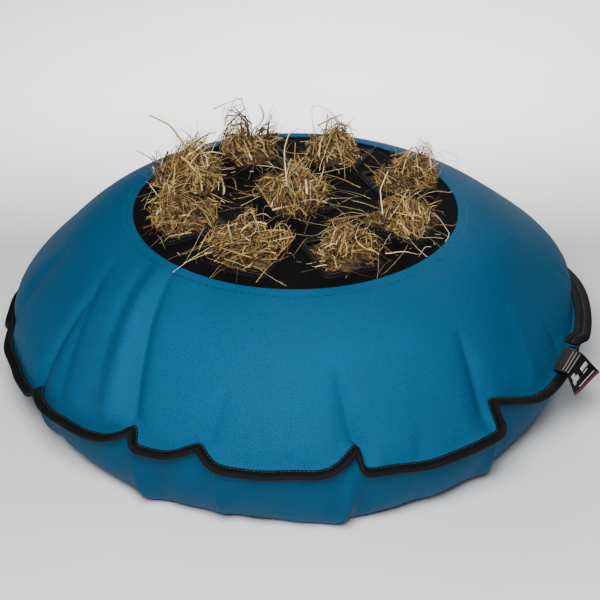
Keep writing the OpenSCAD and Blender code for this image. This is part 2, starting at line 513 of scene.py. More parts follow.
def fuzzy(name, dark, light, scale, roughness, depth=0.0008, **sockets):
    """Brushed or looped pile."""
    mat, tree, shader = material(name, roughness, **sockets)
    pile = noise_of(tree, object_place(tree), scale, 4.0)
    paint(tree, shader, pile, [(0.3, dark), (0.75, light)])
    bump(tree, shader, pile, 0.8, depth)
    return mat


def plain(name, srgb, roughness):
    mat, _, shader = material(name, roughness)
    shader.inputs["Base Color"].default_value = colour(*srgb)
    return mat


def hay_mass():
    """Packed hay: fibres that run in many directions, with painted shade in the gaps between them."""
    mat, tree, shader = material("packed_hay", 0.85)
    spot = object_place(tree)
    layers = []
    for turn, stretch in ((0, 9), (55, 7), (110, 8)):
        place = mapped(tree, spot, (40, 40 * stretch, 40 * stretch), (turn / 2, 20, turn))
        layers.append(noise_of(tree, place, 1.0))
    fibre = math_node(tree, "MAXIMUM", math_node(tree, "MAXIMUM", layers[0], layers[1]), layers[2])
    # The darkest stop is painted shade in the gaps between the fibres; the lighter stops are the hay's own
    # tones
    stops = [(0.45, colour(16, 9, 4)), (0.6, colour(66, 44, 20)), (0.78, colour(150, 116, 64))]
    paint(tree, shader, fibre, stops)
    bump(tree, shader, fibre, 1.0, 0.004)
    return mat


TEAL = woven(
    "teal_cover_cloth", (0.0, 0.046, 0.105, 1), (0.007, 0.150, 0.315, 1), 0.0011, 0.62,
    fade=0.18, strength=0.8, twill=0.55, Specular_IOR_Level=0.10, Metallic=0.20,
)
# A darker copy of the teal cover cloth, with less metallic sheen, for the bottom cover: painted shade, since
# the bottom cover is the same cloth as the top one
TEAL_PAINTED_SHADE = woven(
    "teal_cloth_painted_shade", (0.0, 0.031, 0.071, 1), (0.003, 0.098, 0.210, 1), 0.0011, 0.7,
    fade=0.18, strength=0.8, twill=0.55, Specular_IOR_Level=0.10, Metallic=0.10,
)
PANEL = woven(
    "black_panel_cloth", (0.0006, 0.0005, 0.0006, 1), (0.0035, 0.003, 0.0036, 1), 0.0016, 0.9,
    fade=0.35, strength=0.6, Specular_IOR_Level=0.10,
)
TAPE = ribbed(
    "black_binding_tape", (0.0005, 0.0005, 0.0007, 1), (0.0045, 0.0048, 0.0062, 1), 0.0014, 0.7,
    Specular_IOR_Level=0.15,
)
LOOP = fuzzy(
    "black_loop_pile", (0.001, 0.001, 0.001, 1), (0.012, 0.012, 0.013, 1), 900, 0.9,
    Specular_IOR_Level=0.15,
)
HOOK = fuzzy(
    "black_hook_tape", (0.0008, 0.0008, 0.001, 1), (0.010, 0.010, 0.011, 1), 1500, 0.5,
    Specular_IOR_Level=0.25,
)
THREAD = fuzzy("dark_thread", colour(24, 22, 22), colour(92, 84, 74), 260, 0.6, 0.0002)
HAY_TONES = [
    plain("hay_gold", (184, 148, 80), 0.6),
    plain("hay_brown", (112, 80, 40), 0.7),
    plain("hay_pale", (232, 212, 160), 0.55),
    plain("hay_olive", (138, 124, 66), 0.66),
    plain("hay_dark", (44, 26, 12), 0.8),
]
HAY_MASS = hay_mass()
LABEL_CLOTH = woven(
    "label_cloth", (0.0006, 0.0006, 0.0008, 1), (0.004, 0.004, 0.005, 1), 0.0007, 0.6,
    fade=0.2, strength=0.3, twill=0.6, Specular_IOR_Level=0.2,
)
LABEL_FOLD = woven(
    "label_fold_edge", colour(52, 16, 12), colour(96, 40, 30), 0.0008, 0.6, fade=0.3, strength=0.3
)
LABEL_PRINT = fuzzy("label_print", colour(150, 150, 152), colour(206, 206, 208), 900, 0.6, 0.0001)
LABEL_STRIPE = fuzzy("label_stripe", colour(88, 82, 78), colour(140, 134, 128), 900, 0.6, 0.0001)


# ---------------------------------------------------------------- covers


def fold_depth(r, turn):
    """How far the folds move the cover outwards along its normal; folds sink, so mostly less than 0."""
    moved = np.zeros_like(r)
    for rim, start, start_r, depth, width, lit in FOLDS:
        share = np.clip((r - start_r) / (SEAM_R - start_r), 0, 1)
        line = start + (rim - start) * share
        across = np.radians(around(turn, line)) * r / (width * (0.7 + 0.5 * share))
        taper = share**0.7 * (1 - 0.55 * share**6)
        shape = np.exp(-np.abs(across) ** 1.5)
        if lit:
            shape = shape - np.exp(-(((across + 2.3) / 1.5) ** 2))
            shape = shape + 0.35 * np.exp(-(((across + 5.2) / 1.2) ** 2))
        moved -= depth * taper * shape
    return moved


def meridian(points_r, heights, rows):
    """A profile cut into rows of even length: radius, height and length from its start."""
    along = run_of(np.stack([points_r, heights], -1))
    wanted = np.linspace(0, along[-1], rows)
    return np.interp(wanted, along, points_r), np.interp(wanted, along, heights), wanted


def puckers(turn, from_rim):
    """Small gathers of the cloth that die out a few centimetres from the rim."""
    a = np.radians(turn)
    gather = np.sin(47 * a + 2 * np.sin(5 * a)) + 0.7 * np.sin(83 * a + 1.3 + 3 * np.sin(3 * a))
    gather = gather + 0.5 * np.sin(121 * a + 0.5)
    strength = (0.55 + 0.45 * np.sin(4 * a + 1.0)) * (0.6 + 0.4 * np.sin(9 * a + 2.0))
    return 0.0011 * gather * strength * np.exp(-from_rim / 0.028) * np.clip(from_rim / 0.006, 0, 1)


def spread_down(values, lengths):
    """Unevenness of the rim, carried into the cover: slow waves go far, sharp ones soften and die out."""
    slow = smooth_ring(values, SLOW)
    whole = min(lengths.max(), 0.13)
    rows = []
    for a in lengths:
        soft = smooth_ring(values - slow, 0.3 + 90 * a)
        rows.append(slow * max(0, 1 - a / whole) ** 1.3 + soft * math.exp(-a / 0.045))
    return np.array(rows)


def even_columns(turn):
    """Even directions for the covers' columns, in step with the rim's own."""
    even = ring_turns(COLUMNS)
    return even + np.mean(turn - even)


def on_disc(reach, turn):
    """Places on the flat cloth disc, for rows at a distance from its middle and columns of directions."""
    return reach[:, None, None] * np.stack([np.cos(np.radians(turn)), np.sin(np.radians(turn))], -1)


def top_grid():
    """The top cover between the panel's edge and the seam: (rows, columns, 3), and its flat places."""
    turn, radius, height = rim_columns(COLUMNS)
    fine_r = np.linspace(EDGE_R, SEAM_R, 2000)
    r, z, along = meridian(fine_r, top_out(fine_r), TOP_ROWS)
    from_rim = along[-1] - along
    even = even_columns(turn)
    angle = even[None, :] + spread_down(turn - even, from_rim)
    rr = r[:, None] + spread_down(radius - SEAM_R, from_rim)
    zz = z[:, None] + spread_down(height - SEAM_Z - COVER_T, from_rim)
    depth = fold_depth(np.broadcast_to(r[:, None], angle.shape), angle)
    depth *= np.clip(from_rim / 0.02, 0, 1)[:, None]
    fill = np.sin(np.clip((r - EDGE_R) / (SEAM_R - EDGE_R), 0, 1) ** 4.2 * math.pi) ** 0.9
    fullness = np.interp(angle, ring_turns(720), ring_values(FULLNESS, 720, 6), period=360)
    depth = depth + puckers(angle, from_rim[:, None]) + fullness * fill[:, None]
    rr = rr - depth * np.gradient(z, along)[:, None]
    zz = zz + depth * np.gradient(r, along)[:, None]
    return polar(rr, angle, zz), on_disc(EDGE_R + along, even)


def rest_shape(grid, slack):
    """The cloth's shape without strain: rings a little longer than the grid's, stacked in a cone."""
    rows, columns = grid.shape[:2]
    across = np.linalg.norm(np.diff(grid, axis=0), axis=2).mean(1)
    girth = np.linalg.norm(np.roll(grid, -1, 1) - grid, axis=2).sum(1)
    rho = girth * (1 + slack * np.clip(np.linspace(0, 3, rows), 0, 1)) / (2 * math.pi)
    step = np.sqrt(np.maximum((across * (1 + slack * 0.3)) ** 2 - np.diff(rho) ** 2, 1e-9))
    height = np.concatenate([[0], -np.cumsum(step)])
    return polar(rho[:, None], ring_turns(columns)[None, :], height[:, None])


def relax(grid, slack=0.006, pressure=0.9, cap=0.009, frames=18):
    """A ring of cloth after a simulation under the filling's pressure.

    Its first and last rows are held, and points move by cap at most.
    """
    rows, columns = grid.shape[:2]
    ob = mesh_object("settling", grid, grid_faces(rows, columns))
    ob.shape_key_add(name="Basis")
    key = ob.shape_key_add(name="Rest")
    key.data.foreach_set("co", rest_shape(grid, slack).astype(np.float32).ravel())
    held = list(range(columns)) + list(range((rows - 1) * columns, rows * columns))
    ob.vertex_groups.new(name="held").add(held, 1.0, "REPLACE")
    cloth = ob.modifiers.new("Cloth", "CLOTH")
    settings = cloth.settings
    settings.quality = 4
    settings.mass = 0.25
    settings.tension_stiffness = settings.compression_stiffness = 25
    settings.shear_stiffness = 10
    settings.bending_stiffness = 0.8
    settings.air_damping = 3
    settings.vertex_group_mass = "held"
    settings.rest_shape_key = key
    settings.use_pressure = True
    settings.uniform_pressure_force = pressure
    settings.effector_weights.gravity = 0
    cloth.point_cache.frame_end = frames + 2
    scene = bpy.context.scene
    scene.frame_start, scene.frame_end = 1, frames + 2
    for f in range(1, frames + 1):
        scene.frame_set(f)
    evaluated = ob.evaluated_get(bpy.context.evaluated_depsgraph_get())
    moved = np.zeros(rows * columns * 3, np.float32)
    evaluated.data.vertices.foreach_get("co", moved)
    scene.frame_set(1)
    bpy.data.objects.remove(ob)
    shift = moved.reshape(grid.shape).astype(float) - grid
    size = np.linalg.norm(shift, axis=-1, keepdims=True)
    shift = smooth_rows(shift * np.minimum(1, cap / np.maximum(size, 1e-9)), 0.8)
    shift[0], shift[-1] = 0, 0
    return grid + shift


def top_cover():
    """The top cover, and its points from the panel's edge to the seam."""
    grid, flat = top_grid()
    grid = relax(grid)
    turn, radius, height = rim_columns(COLUMNS)
    points, _, out, up = rim_frame(turn, radius, height)
    grid[-1] = points + up * HALF_GAP
    inner = grid[0]
    inward = -unit(inner * [1, 1, 0])
    # The hem folded under round the panel: distance inwards, height below the cover's face
    folded = ((-0.011, 0.0026), (-0.004, 0.0024), (0.0002, 0.0022), (0.0012, 0.0012), (0.0008, 0.0003))
    hem = [inner + inward * d - [0, 0, h] for d, h in folded]
    length = flange_length(turn)[:, None]
    lift = HALF_GAP + LIP_LIFT * in_mouth(turn, 2.0)[:, None]
    flange = [points + out * length * share + up * lift for share in (0.12, 0.5, 1.0)]
    rows = np.concatenate([hem, grid, flange])
    uv_hem = [flat[0] * k for k in (0.985, 0.988, 0.991, 0.994, 0.997)]
    uv_flange = [flat[-1] * k for k in (1.006, 1.02, 1.04)]
    rows, uvs = refined(rows), refined(np.concatenate([uv_hem, flat, uv_flange]))
    return mesh_object("top_cover_cloth", rows, grid_faces(*rows.shape[:2]), TEAL, uvs), grid


def polygon_radius(turn):
    """Radius of the ground contact: straight sides between its corners, with the corners a little rounded."""
    even = ring_turns(1440)
    corners = sorted(GROUND_CORNERS)
    radius = np.zeros_like(even)
    for (a0, r0), (a1, r1) in zip(corners, corners[1:] + [(corners[0][0] + 360, corners[0][1])]):
        whole = math.radians(a1 - a0)
        for spin in (0, -360):
            here = (even >= a0 + spin) & (even <= a1 + spin)
            t = np.radians(even[here] - a0 - spin)
            radius[here] = r0 * r1 * math.sin(whole) / (r0 * np.sin(t) + r1 * np.sin(whole - t))
    return np.interp(turn, even, smooth_ring(radius, 6), period=360)


def ridge_lift(turn, r, rise):
    """How far the ridges stand out, where rise is 0 at the ground and a right angle at the rim."""
    share = math.sin(rise)
    lift = np.zeros(COLUMNS)
    for at_rim, at_ground, tall, wide in RIDGES:
        line = at_ground + (at_rim - at_ground) * share
        across = np.radians(around(turn, line)) * r / wide
        form = np.exp(-np.abs(across) ** 1.5) - 0.35 * np.exp(-((across - 1.9) ** 2))
        lift += tall * form * math.sin(min(2 * rise, math.pi)) ** 0.8 * share
    return lift


def bottom_cover():
    """The bottom cover, and its points from the ground to the seam."""
    turn, radius, height = rim_columns(COLUMNS)
    points, _, out, up = rim_frame(turn, radius, height)
    even = even_columns(turn)
    rest = polygon_radius(even)
    rises = np.radians(np.linspace(0, 90, SIDE_ROWS))  # 0 at the ground and a right angle at the rim
    from_rim = (math.pi / 2 - rises) * 0.1
    shift = spread_down(turn - even, from_rim)
    slow_r, slow_z = smooth_ring(radius, SLOW), smooth_ring(height, SLOW)
    sharp_r, sharp_z = spread_down(radius - slow_r, from_rim), spread_down(height - slow_z, from_rim)
    side = []
    for k, rise in enumerate(rises):
        r = rest + (slow_r - rest) * math.sin(rise) + sharp_r[k]
        z = (slow_z - HALF_GAP) * (1 - math.cos(rise)) + sharp_z[k] * math.sin(rise)
        lift = puckers(even + shift[k] + 1.5, from_rim[k]) + ridge_lift(even + shift[k], r, rise)
        r, z = r + lift * math.sin(rise) ** 0.5, z - lift * math.cos(rise) * math.sin(rise)
        side.append(polar(r, even + shift[k], np.maximum(z, 0)))
    side[-1] = points - up * HALF_GAP
    floor_shares = (0.05, 0.3, 0.55, 0.75, 0.88, 0.95)
    floor_rows = [polar(rest * k, even + shift[0] * k, np.zeros(COLUMNS)) for k in floor_shares]
    length = flange_length(turn)[:, None]
    flange = [points + out * length * k - up * HALF_GAP for k in (0.12, 0.5, 1.0)]
    rows = np.concatenate([floor_rows, side, flange])
    steps = np.linalg.norm(np.diff(rows, axis=0), axis=2).mean(1)
    reach = np.concatenate([[0], np.cumsum(steps)]) + 0.013
    rows, uvs = refined(rows), refined(on_disc(reach, even))
    rows[..., 2] = np.maximum(rows[..., 2], 0)
    faces = grid_faces(*rows.shape[:2], flip=True)
    faces.append(list(range(rows.shape[1])))
    # The bottom cover takes the darker copy of the teal cloth, which paints its shade
    return mesh_object("bottom_cover_cloth", rows, faces, TEAL_PAINTED_SHADE, uvs), np.array(side)


# ---------------------------------------------------------------- rim binding


def tape_section(width, half):
    """Half-round section of a folded tape, going round: distance outwards and height."""
    full = half + 0.0004
    top = [
        (0.0, half - 0.0009), (0.0003, half - 0.0002), (0.0012, half), (0.0024, half - 0.0004),
        (0.0036, full), (width * 0.6, full), (width - 0.0014, half), (width - 0.0004, half * 0.6),
    ]
    return np.array(top + [(width, 0.0)] + [(d, -h) for d, h in top[::-1]])


def along_rim(points, out, up, section, start=0.0, lift=0.0):
    """A section of distances outwards and heights at each of the points, (stations, points, 3)."""
    outwards = out[:, None] * (start + section[None, :, :1])
    return points[:, None] + outwards + up[:, None] * (lift + section[None, :, 1:])


def swept_tape(name, points, out, up, start, width, half, lift=0.0):
    section = tape_section(width, half)
    verts, faces = sweep(along_rim(points, out, up, section, start, lift))
    return mesh_object(name, verts, faces, TAPE, pairs(run_of(points), run_of(section)))


def stitches(points, along, up, thickness, step=STITCH_STEP, length=STITCH_LENGTH):
    """Small raised thread stitches, one after another along a line."""
    run = run_of(points)
    at = np.arange(step / 2, run[-1], step)

    def place(values):
        return np.stack([np.interp(at, run, values[:, n]) for n in range(3)], -1)

    centre, way, normal = place(points), unit(place(along)), unit(place(up))
    side = np.cross(way, normal)
    corners = []
    for share, size in ((-0.5, 0.35), (-0.38, 0.9), (0, 1.0), (0.38, 0.9), (0.5, 0.35)):
        sunk = 0.25 * thickness * (abs(share) > 0.4)
        for a in np.radians(np.arange(0, 360, 60)):
            rise = math.sin(a) * thickness * 0.8 * size - sunk
            place_at = centre + way * length * share + side * math.cos(a) * thickness * size
            corners.append(place_at + normal * rise)
    one = [[5, 4, 3, 2, 1, 0], [24, 25, 26, 27, 28, 29]]
    for r in range(0, 24, 6):
        one += [[r + k, r + (k + 1) % 6, r + 6 + (k + 1) % 6, r + 6 + k] for k in range(6)]
    faces = [[v + 30 * n for v in f] for n in range(len(at)) for f in one]
    return np.stack(corners, 1).reshape(-1, 3), faces


def tape_stitches(name, frame_there, outwards, height, thickness, lift=0.0):
    """The two rows of stitches on a folded tape, above and below."""
    points, along, out, up = frame_there
    line = points + out * outwards
    runs = [stitches(line + up * (lift + side * height), along, up * side, thickness) for side in (1, -1)]
    return mesh_object(name, *joined(runs), THREAD)


def rim_binding():
    points, along, out, up, _ = part_of_rim(MOUTH_ENDS[1], MOUTH_ENDS[0] + 360)
    tape = swept_tape("rim_binding_tape", points, out, up, RIM_TAPE_START, *RIM_TAPE)
    fixed(tape, "rim_binding")
    fixed(tape_stitches("rim_stitching", (points, along, out, up), *RIM_STITCHES))


# ---------------------------------------------------------------- the filling mouth


# Section of the wide half of the upper lip's tape, which reaches in to the seam: distance, height
WIDE_HALF = np.array([
    (-0.0088, 0.0001), (-0.0090, 0.0006), (-0.0086, 0.0010),
    (-0.0030, 0.0012), (0.0010, 0.0017), (0.0010, 0.0001),
])
STRIP_START = 0.0012  # from the seam to the hook and loop strips
STRIP_SHORT = 12  # stations by which the strips stop short of the lips' ends
# Section of the strips: distance outwards, height
STRIP_SECTION = np.array([
    (0, -0.0006), (0, 0.0005), (0.0008, 0.0007),
    (STRIP_W - 0.0008, 0.0007), (STRIP_W, 0.0005), (STRIP_W, -0.0006),
])
# Each lip: tape's name, its height and CAD node, strip's CAD node, height, material and slot
UPPER_LIP = ("upper_lip_tape", 0.0042, "upper_lip_binding", "loop_strip", 0.0023, LOOP, "loop_pile")
LOWER_LIP = ("lower_lip_tape", -0.0008, "lower_lip_binding", "hook_strip", 0.0007, HOOK, "hook_tape")


def lip(name, lift, tape_node, strip_node, strip_lift, pile, pile_slot, wide):
    """A bound lip of the mouth: its folded tape, its stitching and its strip."""
    points, along, out, up, turn = part_of_rim(*MOUTH_ENDS)
    edge = points + out * (flange_length(turn)[:, None] - FLANGE)
    tape = swept_tape(name, edge, out, up, 0.0, *LIP_TAPE, lift=lift)
    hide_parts(tape_node)
    pieces = [tape]
    if wide:
        verts, faces = sweep(along_rim(edge, out, up, WIDE_HALF, lift=lift))
        half = mesh_object(name + "_half", verts, faces, TAPE, pairs(run_of(edge), WIDE_HALF[:, 0]))
        pieces.append(half)
    thread = tape_stitches(name + "_stitching", (edge, along, out, up), *LIP_STITCHES, lift=lift)
    points, out, up = (values[STRIP_SHORT:-STRIP_SHORT] for values in (points, out, up))
    band = along_rim(points, out, up, STRIP_SECTION, STRIP_START, strip_lift)
    strip = mesh_object(strip_node + "_pile", *sweep(band), pile)
    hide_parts(strip_node)
    return [*pieces, thread, strip]


TACK_ROWS, TACK_PITCH = 9, 0.001
TACK_START, TACK_UP = 0.002, 0.0031  # the first row's distance from the seam, and the rows' height


def mouth_tack(name, at):
    """A bar tack over the end of the mouth: close rows of thread above and below."""
    place, along, out, up, _ = [values[len(values) // 2] for values in part_of_rim(at - 0.6, at + 0.6)]
    ways, ups = np.array([along, along]), np.array([up, up])
    bars = []
    for side in (1, -1):
        for n in range(TACK_ROWS):
            start = place + out * (TACK_START + TACK_PITCH * n) + up * side * TACK_UP
            line = np.array([start - along * 0.0016, start + along * 0.0016 + out * 0.0005])
            bars.append(stitches(line, ways, ups * side, 0.0005, 0.0031, 0.0036))
    fixed(mesh_object(name + "_thread", *joined(bars), THREAD), name)


# ---------------------------------------------------------------- feed panel


# The holes' centres and the direction that each one faces: the middle one, then the ring
HOLE_TURNS = [45 * n - 67.5 for n in range(8)]
HOLES = [(0.0, 0.0, -67.5)] + [
    (HOLE_RING_R * math.cos(math.radians(a)), HOLE_RING_R * math.sin(math.radians(a)), a) for a in HOLE_TURNS
]


def hole_distance(x, y, number):
    """Distance outside the edge of a square hole, negative inside."""
    cx, cy, turn = HOLES[number]
    a = math.radians(turn)
    u = (x - cx) * math.cos(a) + (y - cy) * math.sin(a)
    v = -(x - cx) * math.sin(a) + (y - cy) * math.cos(a)
    du, dv = np.abs(u) - HOLE_SIDE / 2, np.abs(v) - HOLE_SIDE / 2
    return np.hypot(np.maximum(du, 0), np.maximum(dv, 0)) + np.minimum(np.maximum(du, dv), 0)


def nearest_hole(x, y):
    return np.min([hole_distance(x, y, n) for n in range(len(HOLES))], axis=0)


def panel_height(x, y):
    """Top of the feed panel, pushed up round the holes by the hay."""
    x, y = np.asarray(x, float), np.asarray(y, float)
    r = np.hypot(x, y)
    calm = np.clip((0.192 - r) / 0.03, 0, 1)
    push = 0.0045 * np.exp(-np.maximum(nearest_hole(x, y), 0) / 0.012)
    waves = 0.0016 * np.sin(38 * x + 1.3) * np.sin(41 * y + 0.4) + 0.0009 * np.sin(93 * x - 61 * y)
    return top_in(r) - 0.0012 + (push + waves - 0.0018) * calm


def on_panel(xy, lift=0.0):
    return np.stack([xy[:, 0], xy[:, 1], panel_height(xy[:, 0], xy[:, 1]) + lift], -1)


def rounded_square(half, corner, count=12):
    """Outline of a square with rounded corners, with count points on each side between two corners."""
    centres = np.array([(1, 1), (-1, 1), (-1, -1), (1, -1)]) * (half - corner)
    outline = []
    for k in range(4):
        angles = np.radians(np.linspace(0, 90, 6) + 90 * k)
        outline += [centres[k] + corner * np.array([math.cos(a), math.sin(a)]) for a in angles]
        start, end = outline[-1], outline[-1] - centres[k] + centres[(k + 1) % 4]
        outline += [start * (1 - share) + end * share for share in np.linspace(0, 1, count + 2)[1:-1]]
    return np.array(outline)


def placed(outline, number):
    """An outline moved to a hole and turned with it."""
    cx, cy, turn = HOLES[number]
    a = math.radians(turn)
    x = cx + outline[:, 0] * math.cos(a) - outline[:, 1] * math.sin(a)
    y = cy + outline[:, 0] * math.sin(a) + outline[:, 1] * math.cos(a)
    return np.stack([x, y], -1)


def feed_panel():
    rim = np.radians(np.arange(0, 360, 1.5))
    outlines = [np.stack([np.cos(rim), np.sin(rim)], -1) * (PANEL_R - 0.001)]
    outlines += [placed(rounded_square(HOLE_SIDE / 2, CORNER_R), n) for n in range(len(HOLES))]
    edges, base = [], 0
    for outline in outlines:
        count = len(outline)
        edges += [(base + i, base + (i + 1) % count) for i in range(count)]
        base += count
    step = 0.0052
    grid = []
    for row, y in enumerate(np.arange(-PANEL_R, PANEL_R, step * 0.866)):
        grid += [(x + step / 2 * (row % 2), y) for x in np.arange(-PANEL_R, PANEL_R, step)]
    grid = np.array(grid)
    grid = grid[(nearest_hole(*grid.T) > 0.002) & (np.hypot(*grid.T) < PANEL_R - 0.003)]
    flat = [Vector(p) for p in np.concatenate([*outlines, grid])]
    verts, _, faces = geometry.delaunay_2d_cdt(flat, edges, [], 0, 1e-7)[:3]
    xy = np.array([list(v) for v in verts])
    faces = [list(f) for f in faces if nearest_hole(*xy[list(f)].mean(0)) > 0]
    panel = mesh_object("feed_panel_cloth", on_panel(xy), faces, PANEL, xy)
    fixed(panel, "feed_panel")
    return panel


# Section of a hole's tape, going round: distance out from the hole's edge, height over the panel
HOLE_TAPE = [
    (-0.0004, -0.0010), (-0.0009, 0.0), (-0.0004, 0.0010), (0.0010, 0.0014), (0.0022, 0.0011),
    (0.0034, 0.0014), (0.0070, 0.0013), (0.0078, 0.0008), (0.0078, -0.0002), (0.0040, -0.0012),
]


def hole_tape(number):
    rings = []
    for d, h in HOLE_TAPE:
        rings.append(on_panel(placed(rounded_square(HOLE_SIDE / 2 + d, CORNER_R + d), number), h))
    body = np.stack(rings, 1)
    uvs = pairs(run_of(body[:, 0]), np.arange(len(HOLE_TAPE)) * 0.001)
    name = f"hole_binding_{number + 1}"
    tape = mesh_object(name + "_tape", *sweep(body, ring=True), TAPE, uvs)
    fixed(tape, name)
    line = placed(rounded_square(HOLE_SIDE / 2 + 0.0022, CORNER_R + 0.0022), number)
    line = on_panel(np.concatenate([line, line[:1]]), 0.0012)
    up = np.tile([0, 0, 1.0], (len(line), 1))
    runs = stitches(line, np.gradient(line, axis=0), up, 0.0004, 0.004, 0.0028)
    fixed(mesh_object(name + "_stitching", *runs, THREAD))


# ---------------------------------------------------------------- hay


def lumps(points, rng, sizes, amounts):
    """Smooth random bumps at points, from a few sums of waves."""
    total = np.zeros(points.shape[:-1])
    for size, amount in zip(sizes, amounts):
        for _ in range(7):
            way = unit(rng.normal(size=3)) * 2 * math.pi / size * rng.uniform(0.7, 1.3)
            total += amount / 2.6 * np.sin(points @ way + rng.uniform(0, 6.28))
    return total


def straws(rng, starts, ways, lengths, widths, curl, settle, segments=6):
    """Bent straws: three-sided tapering stems. Returns vertices, faces and each face's straw."""
    count = len(starts)
    p, d = np.array(starts, float), unit(np.array(ways, float))
    axis = unit(np.cross(d, rng.normal(size=(count, 3))))
    turn = rng.normal(size=count) * curl
    kink_at = rng.integers(1, segments, count)
    kink = np.where(rng.random(count) < 0.25, rng.normal(size=count) * 0.9, 0)
    rows, ways_at = [p], [d]
    for k in range(segments):
        angle = (turn / segments + np.where(kink_at == k, kink, 0))[:, None]
        d = unit(d * np.cos(angle) + np.cross(axis, d) * np.sin(angle) + rng.normal(size=(count, 3)) * 0.05)
        p = p + d * (lengths / segments)[:, None]
        rows.append(p)
        ways_at.append(d)
    path, heading = settle(np.stack(rows, 1)), np.stack(ways_at, 1)
    flat = unit(np.cross(heading, rng.normal(size=(count, 1, 3))))
    thin = np.cross(heading, flat)
    taper = np.linspace(1, 0.45, segments + 1)[None, :, None] * widths[:, None, None]
    taper[:, -1] *= 0.4
    corners = []
    for a, squash in ((0, 1), (math.radians(130), 0.9), (math.radians(230), 0.9)):
        corners.append(path + flat * math.cos(a) * taper * 0.5 + thin * math.sin(a) * taper * 0.28 * squash)
    body = np.stack(corners, 2)  # straws, rows, 3 corners, xyz
    size = 3 * (segments + 1)
    one = [[2, 1, 0], [size - 3, size - 2, size - 1]]
    for r in range(0, size - 3, 3):
        one += [[r + c, r + (c + 1) % 3, r + 3 + (c + 1) % 3, r + 3 + c] for c in range(3)]
    faces = [[v + n * size for v in f] for n in range(count) for f in one]
    return body.reshape(-1, 3), faces, np.repeat(np.arange(count), len(one))


def tone_of(rng, count, shares):
    """A hay tone for each of count straws, drawn by the shares of gold, brown, pale, olive and dark."""
    return rng.choice(len(HAY_TONES), size=count, p=np.array(shares) / np.sum(shares))


def straw_object(name, made, tone, stands_for=None):
    verts, faces, owner = made
    fixed(mesh_object(name, verts, faces, HAY_TONES, tones=tone[owner], smooth=False), stands_for)


def tuft_core(name, centre, height, rng):
    """A low closed lumpy heap, the dense part of a tuft."""
    rows, columns = 18, 40
    rises = np.radians(np.linspace(-78, 88, rows))[:, None]
    sphere = polar(np.cos(rises), np.linspace(0, 360, columns, endpoint=False), np.sin(rises))
    swell = 1 + lumps(sphere, rng, (1.4, 0.6, 0.3), (0.20, 0.12, 0.06))
    body = sphere * swell[..., None] * [0.030, 0.030, height]
    body[..., 2] = np.where(sphere[..., 2] < 0, sphere[..., 2] * 0.012, body[..., 2])
    fixed(mesh_object(name, body + centre, closed_grid_faces(rows, columns), HAY_MASS))


# Each tuft: half width, height, lean outwards along x and y, straws; the middle one, then the ring
TUFTS = [
    (0.046, 0.066, 0.000, 0.006, 1150),
    (0.036, 0.056, 0.004, 0.002, 760),
    (0.045, 0.056, 0.002, -0.004, 1050),
    (0.038, 0.062, 0.026, 0.008, 860),
    (0.038, 0.066, -0.002, 0.000, 860),
    (0.038, 0.084, -0.015, 0.000, 900),
    (0.052, 0.074, 0.000, 0.004, 1350),
    (0.034, 0.054, -0.018, 0.000, 820),
    (0.047, 0.056, 0.002, 0.004, 1100),
]
CLUMPS = 9  # in each tuft
# Widths of the tufts' straws, and the share of each
STRAW_WIDTHS, STRAW_SHARES = [0.0008, 0.0012, 0.0019, 0.0031], [0.34, 0.34, 0.22, 0.10]


